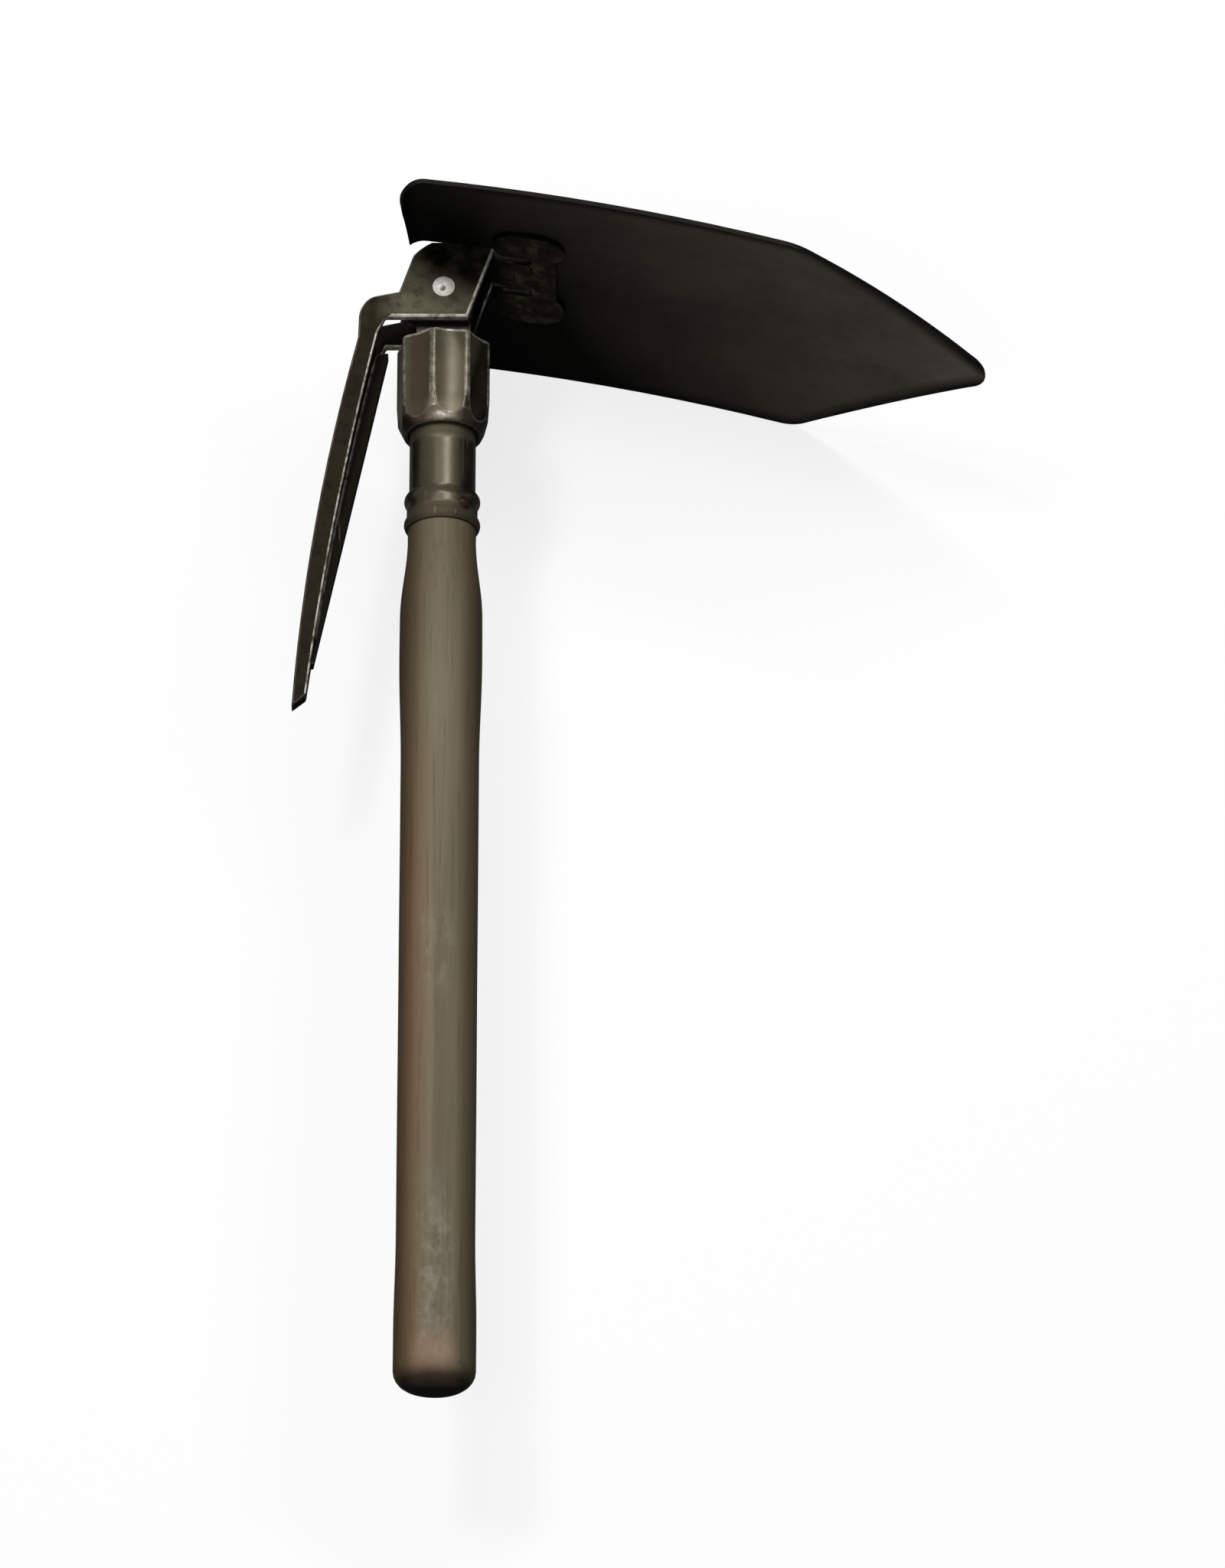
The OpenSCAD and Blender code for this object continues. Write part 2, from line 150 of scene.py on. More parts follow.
def ramp(tree, value, places, colours):
    made = put(tree, "ShaderNodeValToRGB", {"Fac": value})
    points = made.color_ramp.elements
    while len(points) < len(places):
        points.new(0.5)
    for point, place, colour in zip(points, places, colours):
        point.position = place
        point.color = colour
    return made.outputs["Color"]


def blendColour(tree, amount, first, second):
    made = put(tree, "ShaderNodeMix", {0: amount, 6: first, 7: second}, data_type="RGBA")
    return made.outputs[2]


def relief(tree, height, depth, strength):
    return put(tree, "ShaderNodeBump", {
        "Height": height, "Distance": depth, "Strength": strength}).outputs[0]


def newFinish(name):
    finish = bpy.data.materials.new(name)
    tree = clearTree(finish)
    shader = put(tree, "ShaderNodeBsdfPrincipled")
    put(tree, "ShaderNodeOutputMaterial", {"Surface": shader.outputs[0]})
    return finish, tree, shader


# camera
shot = {
    "tilt": 27.7,                        # degrees off straight down, at the hinge
    "roll": 0.2,
    "distance": 6.0,
    "pixelsPerMetre": 3210.0,            # at the hinge
    "hingeAt": (580.0, 397.0),
    "picture": (1600.0, 2048.0),
    "sensor": 36.0,
    "seesTo": 100.0,
}


def makeCamera():
    wide, tall = shot["picture"]
    focal = shot["pixelsPerMetre"] * shot["distance"]
    across = (shot["hingeAt"][0] - wide / 2) / focal
    above = (tall / 2 - shot["hingeAt"][1]) / focal
    tilt = math.radians(shot["tilt"]) - math.atan(above)
    forward = Vector((0.0, math.sin(tilt), -math.cos(tilt)))
    right = Vector((1.0, 0.0, 0.0))
    up = right.cross(forward)
    roll = math.radians(shot["roll"])
    right, up = (right * math.cos(roll) + up * math.sin(roll),
                 up * math.cos(roll) - right * math.sin(roll))
    data = bpy.data.cameras.new("viewCamera")
    data.sensor_width = shot["sensor"]
    data.lens = focal * shot["sensor"] / tall
    data.clip_end = shot["seesTo"]
    camera = bpy.data.objects.new("viewCamera", data)
    scene.collection.objects.link(camera)
    place = hinge - (right * across + up * above + forward) * shot["distance"]
    turned = Matrix((right, up, -forward)).transposed().to_4x4()
    camera.matrix_world = Matrix.Translation(place) @ turned
    scene.camera = camera


# lamps, sky and floor
studio = {
    "keyLamp": {"towards": (-0.30, 0.23, 0.92), "distance": 2.2, "wide": 0.6, "deep": 0.3,
                "power": 26.0},
    "sheenLamp": {"towards": (0.31, 0.45, 0.87), "distance": 4.0, "wide": 4.6, "deep": 0.36,
                  "power": 106.0},
    "fillLamp": {"towards": (-0.12, -0.46, 0.88), "distance": 3.0, "wide": 1.2, "deep": 1.2,
                 "power": 18.0},
    "aim": (0.02, 0.26, 0.0),            # each lamp stands off from here and points back at it
    "skyLight": 0.04,
    "skyInPaint": 0.40,                  # how much of the white sky shows in reflections
    "floorDrop": 0.0006,
    "floorAcross": 60.0,
    "floorGlow": 0.80,                   # how much of the floor's white is its own
    "floorGlowInPaint": 0.02,
    "floorPale": 0.88,
    "floorPaleInPaint": 0.10,
    "floorBounce": 0.18,
}


def makeLamp(name):
    look = studio[name]
    lamp = bpy.data.lights.new(name, "AREA")
    lamp.shape = "RECTANGLE"
    lamp.size = look["wide"]
    lamp.size_y = look["deep"]
    lamp.energy = look["power"]
    stand = bpy.data.objects.new(name, lamp)
    scene.collection.objects.link(stand)
    towards = Vector(look["towards"]).normalized()
    stand.location = Vector(studio["aim"]) + towards * look["distance"]
    stand.rotation_euler = towards.to_track_quat("Z", "Y").to_euler()


def makeSky():
    sky = bpy.data.worlds.new("paleSky")
    scene.world = sky
    tree = clearTree(sky)
    path = put(tree, "ShaderNodeLightPath").outputs
    seen = largest(tree, largest(tree, path["Is Camera Ray"], path["Is Transmission Ray"]),
                   times(tree, path["Is Glossy Ray"], studio["skyInPaint"]))
    dim, full = (put(tree, "ShaderNodeBackground", {"Color": white, "Strength": strength}).outputs[0]
                 for strength in (studio["skyLight"], 1.0))
    both = put(tree, "ShaderNodeMixShader", {0: seen, 1: dim, 2: full})
    put(tree, "ShaderNodeOutputWorld", {"Surface": both.outputs[0]})


def makeFloor():
    half = studio["floorAcross"] / 2
    low = cadBox[0].z - studio["floorDrop"]
    sheet = bpy.data.meshes.new("paleFloor")
    corners = [(-half, -half, low), (half, -half, low), (half, half, low), (-half, half, low)]
    sheet.from_pydata(corners, [], [(0, 1, 2, 3)])
    floor = bpy.data.objects.new("paleFloor", sheet)
    scene.collection.objects.link(floor)
    finish = bpy.data.materials.new("paleFloorPaint")
    tree = clearTree(finish)
    path = put(tree, "ShaderNodeLightPath").outputs
    direct = largest(tree, path["Is Camera Ray"], path["Is Transmission Ray"])
    glowing = largest(tree, times(tree, direct, studio["floorGlow"]),
                      times(tree, path["Is Glossy Ray"], studio["floorGlowInPaint"]))
    pale, dull, bounce = (
        put(tree, "ShaderNodeBsdfDiffuse", {"Color": (studio[key],) * 3 + (1.0,)}).outputs[0]
        for key in ("floorPale", "floorPaleInPaint", "floorBounce"))
    glow = put(tree, "ShaderNodeEmission", {"Color": white, "Strength": 1.0})
    matt = put(tree, "ShaderNodeMixShader", {0: path["Is Glossy Ray"], 1: pale, 2: dull})
    shown = put(tree, "ShaderNodeMixShader", {0: glowing, 1: matt.outputs[0], 2: glow.outputs[0]})
    both = put(tree, "ShaderNodeMixShader", {
        0: path["Is Diffuse Ray"], 1: shown.outputs[0], 2: bounce})
    put(tree, "ShaderNodeOutputMaterial", {"Surface": both.outputs[0]})
    sheet.materials.append(finish)


makeCamera()
for lampName in ("keyLamp", "sheenLamp", "fillLamp"):
    makeLamp(lampName)
makeSky()
makeFloor()
print("camera and studio set")


# finishes: a span says from where to where something sets in, and may add how weak and strong it is;
# this is what all the worn paint shares
paintWear = {
    "patch": {"detail": 5.0, "rough": 0.6, "shift": 2.3},
    "fine": {"scale": 1400.0, "detail": 3.0, "rough": 0.6, "shift": 7.7},
    "scratch": {"detail": 2.0, "rough": 0.5, "shift": 4.1, "swirl": 0.3},
    "rub": {"detail": 4.0, "rough": 0.65, "shift": 11.0},
    "coatStops": (0.28, 0.5, 0.74),
    "metalStops": (0.3, 0.62),
    "dullMetal": paint(122, 116, 104), "brightMetal": paint(188, 184, 174),
    "fadePatch": (0.25, 0.6, 0.6, 1.0),
    "rimRubAndHighlight": (0.2, 0.55, 0.0, 0.8),
    "gritRub": (0.47, 0.66),
    "glossPatch": (0.3, 0.7),
    "dulledTo": 0.8,
    "tint": paint(255, 242, 214),
    "fineRise": 0.35, "reliefDepth": 0.00008,
}


def wornPaint(name, look):
    wear = paintWear
    finish, tree, shader = newFinish(name)
    patch = speckle(tree, scale=look["patchScale"], **wear["patch"])
    fine = speckle(tree, **wear["fine"])
    scratch = speckle(tree, stretch=look["scratchRun"], **wear["scratch"])
    rubbed = speckle(tree, scale=look["rubScale"], **wear["rub"])
    edge = put(tree, "ShaderNodeAttribute", attribute_name="wornEdge").outputs["Fac"]
    darkened = put(tree, "ShaderNodeAttribute", attribute_name="darkFace").outputs["Fac"]
    sources = objectPlace(tree)
    sources["aside"] = calc(tree, "ABSOLUTE", sources["Z"])
    sources["beside"] = calc(tree, "ABSOLUTE", sources["X"])

    onEdge = times(tree, edge, band(tree, rubbed, *look["edgeRub"]))
    onFace = times(tree, band(tree, scratch, *look["scratchCut"]), look["scratchShow"])
    bareAndHighlight = largest(tree, onEdge, onFace, clamp=True)
    # rims laid on as bare metal: worn rims, and rims that carry a painted highlight
    for rise, fall, width in look.get("rubbedAndHighlightRims", ()):
        rim = times(tree, band(tree, sources["Y"], *rise), band(tree, sources["Y"], *fall),
                    band(tree, sources["beside"], *width), band(tree, rubbed, *wear["rimRubAndHighlight"]))
        bareAndHighlight = largest(tree, bareAndHighlight, rim, clamp=True)
    metal = ramp(tree, rubbed, wear["metalStops"], (wear["dullMetal"], wear["brightMetal"]))

    coat = ramp(tree, patch, wear["coatStops"], (look["dark"], look["tone"], look["pale"]))
    # a fade has a tone, how far each axis counts (aside and beside count both ways), and its span
    for tone, lean, span in look.get("fades", ()):
        terms = [times(tree, sources[source], share) for source, share in lean.items()]
        along = band(tree, calc(tree, "ADD", *terms), *span)
        mottled = times(tree, along, band(tree, patch, *wear["fadePatch"]))
        coat = blendColour(tree, mottled, coat, tone)
    gritty = band(tree, rubbed, *wear["gritRub"], 0.0, look["grit"])
    # grit darkens the coat at random; the dark faces carry painted shade on the pick and bracket, and a
    # darker outer side and cut edges on the blade
    for amount in (gritty, darkened):
        coat = blendColour(tree, amount, coat, look["darkening"])

    rough = band(tree, patch, *wear["glossPatch"], *look["gloss"])
    for span in look.get("dulled", ()):
        rough = largest(tree, rough, band(tree, sources["Y"], *span, 0.0, wear["dulledTo"]))
    height = calc(tree, "SUBTRACT", times(tree, fine, wear["fineRise"]), bareAndHighlight)
    plug(tree, shader, {
        "Base Color": blendColour(tree, bareAndHighlight, coat, metal),
        "Metallic": times(tree, bareAndHighlight, look["metal"]),
        "Roughness": rough,
        "Specular IOR Level": look["shine"],
        "Specular Tint": wear["tint"],
        "Normal": relief(tree, height, wear["reliefDepth"], look["relief"]),
    })
    return finish


# paints that several pieces share
oliveLook = {
    "dark": paint(44, 42, 30), "tone": paint(58, 55, 40), "pale": paint(72, 68, 51),
    "patchScale": 60.0, "rubScale": 260.0, "scratchRun": (500.0, 26.0, 500.0),
    "edgeRub": (0.28, 0.60), "scratchCut": (0.70, 0.76), "scratchShow": 0.2,
    "gloss": (0.30, 0.22), "shine": 0.46, "relief": 0.12, "darkening": paint(20, 17, 11), "grit": 0.15,
    "metal": 0.45,
}
blackLook = {
    "dark": paint(9, 9, 8), "tone": paint(13, 13, 11), "pale": paint(20, 19, 16),
    "patchScale": 22.0, "rubScale": 200.0, "scratchRun": (40.0, 300.0, 40.0),
    "edgeRub": (0.56, 0.76), "scratchCut": (0.74, 0.82), "scratchShow": 0.08,
    "gloss": (0.54, 0.42), "shine": 0.09, "relief": 0.3, "darkening": paint(5, 5, 4), "grit": 0.12,
    "metal": 0.7,
}
# painted shade: the dark laid on the ferrule's flanks and on the collar's shaded side and rim
paintedShade = paint(14, 13, 10)
blackest = paint(5, 5, 4)

# what the bare steel shares
steelWear = {
    "patch": {"scale": 320.0, "detail": 5.0, "rough": 0.6, "shift": 3.3},
    "line": {"stretch": (2600.0, 300.0, 2600.0), "detail": 2.0, "rough": 0.5, "shift": 6.1},
    "stain": {"scale": 600.0, "detail": 4.0, "rough": 0.7, "shift": 8.8},
    "toneStops": (0.3, 0.62),
    "rust": paint(84, 52, 34), "rustStain": (0.62, 0.74, 0.0, 0.5),
    "glossLine": (0.3, 0.7),
    "reliefDepth": 0.00004, "relief": 0.4,
}


def bareSteel(name, look):
    wear = steelWear
    finish, tree, shader = newFinish(name)
    patch, line, stain = (speckle(tree, **wear[key]) for key in ("patch", "line", "stain"))
    ground = ramp(tree, patch, wear["toneStops"], (look["dull"], look["tone"]))
    ground = blendColour(tree, band(tree, stain, *wear["rustStain"]), ground, wear["rust"])
    # painted shade: a dark spot on the head
    if "shadeSpot" in look:
        place = objectPlace(tree)
        squares = [calc(tree, "POWER", calc(tree, "SUBTRACT", place[axis], middle), 2.0)
                   for axis, middle in zip("XY", look["shadeSpot"])]
        reach = calc(tree, "SQRT", calc(tree, "ADD", *squares))
        spotShade = band(tree, reach, *look["shadeSpotReach"])
        ground = blendColour(tree, spotShade, ground, look["shadeSpotTone"])
    plug(tree, shader, {
        "Base Color": ground,
        "Metallic": look["metal"],
        "Roughness": band(tree, line, *wear["glossLine"], *look["gloss"]),
        "Normal": relief(tree, line, wear["reliefDepth"], wear["relief"]),
    })
    return finish


# mesh helpers
shading = {
    "smoothBelow": 42.0,                 # degrees between two faces
    "flatWeight": 80,                    # flat faces stay flat
}


def unit(value):
    return min(1.0, max(0.0, value))


def addPiece(name, shape, finish, body, replaced):
    smoothBelow = math.radians(shading["smoothBelow"])
    for face in shape.faces:
        face.smooth = True
    for edge in shape.edges:
        edge.smooth = len(edge.link_faces) != 2 or edge.calc_face_angle(0.0) < smoothBelow
    bmesh.ops.recalc_face_normals(shape, faces=shape.faces)
    mesh = bpy.data.meshes.new(name)
    shape.to_mesh(mesh)
    shape.free()
    mesh.materials.append(finish)
    piece = bpy.data.objects.new(name, mesh)
    scene.collection.objects.link(piece)
    even = piece.modifiers.new("evenShading", "WEIGHTED_NORMAL")
    even.weight = shading["flatWeight"]
    even.keep_sharp = True
    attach(piece, body)
    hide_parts(replaced)


def latheShape(rings, segments, radiusAt, joined=False):
    shape = bmesh.new()
    rows = []
    for along, radius in rings:
        row = []
        for step in range(segments):
            turn = 2.0 * math.pi * step / segments
            reach = radiusAt(along, radius, turn)
            row.append(shape.verts.new((reach * math.sin(turn), along, reach * math.cos(turn))))
        rows.append(row)
    pairs = list(zip(rows, rows[1:]))
    if joined:
        pairs.append((rows[-1], rows[0]))
    else:
        shape.faces.new(rows[0])
        shape.faces.new(rows[-1])
    for lower, upper in pairs:
        for step in range(segments):
            after = (step + 1) % segments
            shape.faces.new((lower[step], lower[after], upper[after], upper[step]))
    return shape


# how the sharp edges of a solid are rounded
softening = {
    "weld": 2e-6,                        # points this close are one
    "flatWithin": 0.4,                   # degrees
    "segments": 2, "profile": 0.5,
    "crowdedAt": (0.02, 0.25, 0.5, 0.75, 0.98),   # places along a ridge
    "crowdedWithin": 2.0,                # in roundings
    "crowdedFacing": 0.7,
    "leastFold": 2e-10, "foldFacing": 0.2,        # smaller or flatter faces aren't folds
    "drawTogether": (0.0001, 0.0002, 0.0003, 0.0004),
}


def isCrowded(edge, ridges, rounding):
    # another ridge runs close by on the same face, so that both roundings would cross
    for loop in edge.link_loops:
        start, end = loop.vert.co, loop.link_loop_next.vert.co
        inward = loop.face.normal.cross(end - start).normalized()
        for other in loop.face.edges:
            if other not in ridges or set(other.verts) & set(edge.verts):
                continue
            first, second = (vert.co for vert in other.verts)
            for part in softening["crowdedAt"]:
                spot = start.lerp(end, part)
                share = intersect_point_line(spot, first, second)[1]
                away = first.lerp(second, unit(share)) - spot
                isNear = away.length < softening["crowdedWithin"] * rounding
                if isNear and away.dot(inward) > softening["crowdedFacing"] * away.length:
                    return True
    return False


def foldedFaces(shape):
    shape.normal_update()
    folded = set()
    for loops in shape.calc_loop_triangles():
        first, second, third = (loop.vert.co for loop in loops)
        turned = (second - first).cross(third - first)
        lean = turned.dot(loops[0].face.normal)
        if turned.length > softening["leastFold"] and lean < softening["foldFacing"] * turned.length:
            folded.add(loops[0].face)
    return folded


def softShape(look, wornAt, rubbedAt, darkAt):
    shape = bmesh.new()
    shape.from_mesh(nodes[look["solid"]].data)
    bmesh.ops.remove_doubles(shape, verts=shape.verts, dist=softening["weld"])
    bmesh.ops.dissolve_limit(shape, angle_limit=math.radians(softening["flatWithin"]),
                             verts=shape.verts, edges=shape.edges)
    turned = Matrix.Rotation(math.radians(look.get("turned", 0.0)), 3, "Y")
    bmesh.ops.rotate(shape, verts=shape.verts, cent=(0.0, 0.0, 0.0), matrix=turned)
    worn = shape.faces.layers.float.new("wornEdge")
    darkening = shape.faces.layers.float.new("darkFace")
    sharp = math.radians(look["sharpFrom"])
    for rounding, wanted in look["passes"]:
        ridges = [edge for edge in shape.edges if len(edge.link_faces) == 2
                  and edge.calc_face_angle(0.0) > sharp
                  and wanted((edge.verts[0].co + edge.verts[1].co) / 2)
                  and not any(face.tag for face in edge.link_faces)]
        known = set(ridges)
        ridges = [edge for edge in ridges if not isCrowded(edge, known, rounding)]
        made = bmesh.ops.bevel(shape, geom=ridges, offset=rounding, offset_type="OFFSET",
                               segments=softening["segments"], profile=softening["profile"],
                               affect="EDGES", clamp_overlap=False, material=-1)
        for face in made["faces"]:       # the rounded strips are worn
            face.tag = True
            face[worn] = wornAt(face.normal, face.calc_center_median())
    for reach in softening["drawTogether"]:       # corners that crossed are drawn together
        crossed = {vert for face in foldedFaces(shape) for vert in face.verts}
        corners = [vert for vert in shape.verts if vert in crossed]
        bmesh.ops.remove_doubles(shape, verts=corners, dist=reach)
    for face in shape.faces:
        place = face.calc_center_median()
        face[worn] = max(face[worn], rubbedAt(face.normal, place))
        face[darkening] = darkAt(face.normal, place)
    return shape


def anywhere(place):
    return True


def nowhere(facing, place):
    return 0.0


def makeSteel(name, look, finish, wornAt, rubbedAt=nowhere, darkAt=nowhere):
    shape = softShape(look, wornAt, rubbedAt, darkAt)
    addPiece(name, shape, finish, look["body"], look["solid"])
    print(name, "made")


# wooden handle, turned to the solid's own profile
handleLook = {
    "segments": 144,
    "step": 0.002,
    "waver": 0.00016,                    # how far the turning wanders
    "waverRun": (60.0, 14.0, 60.0),
    "steadyOver": 0.004,                 # no waver this close to the seat
    "buttArc": 0.0066,                   # the rounded end keeps the solid's rings
    "evenOver": 0.004,
    "evenAt": (-1.0, -0.5, 0.0, 0.5, 1.0),
    "seat": 0.376,                       # the ferrule's rim
    "seatSlack": 0.0001,
    "olive": paint(97, 90, 70),          # the ground under all the others
    "brown": paint(121, 89, 64),
    "dark": paint(57, 49, 36),
    "pale": paint(122, 113, 95),
    "flank": paint(44, 39, 28),
    "soil": paint(40, 33, 25),
    "scuff": paint(152, 146, 132),
    # a reddish flush that is also painted light: a paler patch on the lit shoulder of the butt
    "flushAndLight": paint(138, 112, 94),
    # painted shade: the colour of the butt's end face
    "end": paint(15, 11, 8),
    "patterns": {
        "streak": {"stretch": (75.0, 2.4, 75.0), "detail": 5.0, "rough": 0.6, "shift": 3.1,
                   "swirl": 0.6},
        "broad": {"stretch": (28.0, 5.0, 28.0), "detail": 3.0, "rough": 0.5, "shift": 9.4},
        "fibre": {"stretch": (950.0, 14.0, 950.0), "detail": 3.0, "rough": 0.6, "shift": 1.7},
        "pore": {"stretch": (1500.0, 50.0, 1500.0), "detail": 2.0, "rough": 0.5, "shift": 5.2},
        "graze": {"stretch": (150.0, 85.0, 150.0), "detail": 5.0, "rough": 0.7, "shift": 12.6},
    },
    "halfWidth": 0.0165,
    "rubbedFrom": (0.06, 0.12, 0.45, 1.0),    # the stretch that hands have rubbed brown
    "rubbedTo": (0.21, 0.29, 1.0, 0.35),
    "rubbedAcross": (0.42, 0.76),
    "rubbedShow": 0.85,
    "rubbedPatch": (0.46, 0.66, -0.1, 0.4),
    "layers": [                          # tone, what it follows and its span
        # painted highlight: a paler strip along the middle, on top and underneath
        ("pale", "aside", (0.0110, 0.0015, 0.0, 0.6)),
        ("dark", "streak", (0.50, 0.30, 0.0, 0.4)),
        ("pale", "streak", (0.54, 0.74, 0.0, 0.45)),
        # painted shade: both flanks are darkened
        ("flank", "aside", (0.0075, 0.0165, 0.0, 0.8)),
        ("soil", "fibre", (0.54, 0.72, 0.0, 0.28)),
        ("soil", "pore", (0.66, 0.74, 0.0, 0.3)),
        ("dark", "along", (0.300, 0.360, 0.0, 0.3)),     # towards the ferrule
    ],
    "scuffGraze": (0.46, 0.70, 0.0, 0.5),
    "scuffAside": (0.009, 0.004),
    "scuffLow": (0.092, 0.055),
    "scuffMid": ((0.160, 0.174), (0.206, 0.190)), "scuffMidShow": 0.6,
    "flushAndLightAlong": (0.020, 0.011, 0.0, 0.6), "flushAndLightAside": (0.011, 0.004),
    "endAlong": (0.0032, 0.0004), "endDepth": (0.012, -0.002, 0.25, 1.0),
    "gloss": (0.3, 0.7, 0.42, 0.32), "shine": 0.04,
    "fibreRise": 0.6, "poreSink": 0.4, "reliefDepth": 0.00016, "relief": 0.5,
}


def oiledWood():
    look = handleLook
    finish, tree, shader = newFinish("oiledWood")
    place = objectPlace(tree)
    sources = {name: speckle(tree, **pattern) for name, pattern in look["patterns"].items()}
    sources["along"] = place["Y"]
    sources["aside"] = calc(tree, "ABSOLUTE", place["X"])

    def spanOf(source, key):
        return band(tree, sources[source], *look[key])

    across = band(tree, place["X"], -look["halfWidth"], look["halfWidth"], 1.0, 0.0)
    rubbed = times(tree, spanOf("along", "rubbedFrom"), spanOf("along", "rubbedTo"),
                   band(tree, across, *look["rubbedAcross"]))
    rubbed = calc(tree, "ADD", times(tree, rubbed, look["rubbedShow"]),
                  spanOf("broad", "rubbedPatch"), clamp=True)
    colour = blendColour(tree, rubbed, look["olive"], look["brown"])
    for tone, source, span in look["layers"]:
        colour = blendColour(tree, band(tree, sources[source], *span), colour, look[tone])
    rise, fall = (band(tree, place["Y"], *span) for span in look["scuffMid"])
    scuffPlace = largest(tree, spanOf("along", "scuffLow"),
                         times(tree, rise, fall, look["scuffMidShow"]))
    patches = {
        "scuff": times(tree, spanOf("graze", "scuffGraze"),
                       times(tree, spanOf("aside", "scuffAside"), scuffPlace)),
        # reddish flush and painted light on the butt's shoulder
        "flushAndLight": times(tree, spanOf("along", "flushAndLightAlong"), spanOf("aside", "flushAndLightAside")),
        # painted shade on the butt's end face, darker towards its lower side
        "end": times(tree, spanOf("along", "endAlong"), band(tree, place["Z"], *look["endDepth"])),
    }
    for tone, amount in patches.items():
        colour = blendColour(tree, amount, colour, look[tone])
    height = calc(tree, "SUBTRACT", times(tree, sources["fibre"], look["fibreRise"]),
                  times(tree, sources["pore"], look["poreSink"]))
    plug(tree, shader, {
        "Base Color": colour,
        "Roughness": spanOf("streak", "gloss"),
        "Specular IOR Level": look["shine"],
        "Normal": relief(tree, height, look["reliefDepth"], look["relief"]),
    })
    return finish


def handleProfile():
    found = {}
    for vert in nodes["wooden_handle"].data.vertices:
        along = round(vert.co.y, 5)
        found[along] = max(found.get(along, 0.0), math.hypot(vert.co.x, vert.co.z))
    return sorted(found.items())


def radiusOn(profile, along):
    for (start, startRadius), (end, endRadius) in zip(profile, profile[1:]):
        if start <= along <= end:
            return startRadius + (endRadius - startRadius) * (along - start) / (end - start)
    return profile[-1][1]


def makeHandle():
    look = handleLook
    seat = look["seat"]
    profile = handleProfile()
    outside = [ring for ring in profile if ring[0] <= seat + look["seatSlack"]]
    rings = [ring for ring in outside if ring[0] < look["buttArc"]]
    along = look["buttArc"]
    while along < seat - look["step"] / 2:
        spread = min(look["evenOver"], along - look["buttArc"], seat - along)
        near = [radiusOn(outside, along + spread * part) for part in look["evenAt"]]
        rings.append((along, sum(near) / len(near)))
        along += look["step"]
    rings.append(outside[-1])
    top, tenon = profile[-1]
    rings += [(seat, tenon), (top, tenon)]

    def wander(along, radius, turn):
        if along > seat - look["steadyOver"]:
            return radius
        acrossRun, alongRun, deepRun = look["waverRun"]
        place = Vector((radius * math.sin(turn) * acrossRun, along * alongRun,
                        radius * math.cos(turn) * deepRun))
        return radius - look["waver"] * (0.5 + 0.5 * noise.noise(place))

    shape = latheShape(rings, look["segments"], wander)
    addPiece("turnedHandle", shape, oiledWood(), "handle", "wooden_handle")


makeHandle()
print("turnedHandle made")


# ferrule with its two rolled beads and the thread that the collar runs on
ferruleLook = {
    **oliveLook, "shine": 0.54,
    "dulled": [(0.4110, 0.4150), (0.3850, 0.3825)],      # under the collar, and below the upper bead
    "fades": [
        (paint(60, 52, 39), {"Y": 1.0}, (0.3895, 0.3845)),
        # painted shade: the tube's right flank, the right flank of the bead zone and the left flank are
        # darkened
        (paintedShade, {"X": 1.0}, (0.0038, 0.0095)),
        (paintedShade, {"X": 1.0, "Y": -0.3}, (-0.1108, -0.1067)),
        (paintedShade, {"X": 1.0}, (-0.0052, -0.0112)),
    ],
    "segments": 144,
    "rim": 0.376, "top": 0.456,
    "skirt": 0.0143, "tube": 0.0134, "bore": 0.0118, "easeOver": 0.0025,
    "beadAt": (0.3786, 0.3892), "beadRadius": 0.0026, "beadMiddle": 0.01265,
    "beadFall": 5.0, "fillet": 0.0009,   # how steeply a bead ends, and how softly
    "flankFrom": 0.5, "flankOver": 0.4,  # where the upper bead swells
    "threadFrom": 0.4225, "threadRoot": 0.0131, "threadCrest": 0.0138, "pitch": 0.0021,
    "threadSteep": 1.9, "threadSink": 0.45,
    "threadIn": 0.002, "threadOut": 0.0012,
    "fine": 0.00025, "coarse": 0.003,    # steps between rings
    "beadClear": 0.001, "topSlack": 1e-6,
}


def smoothMax(first, second, width):
    return 0.5 * (first + second + math.hypot(first - second, width))


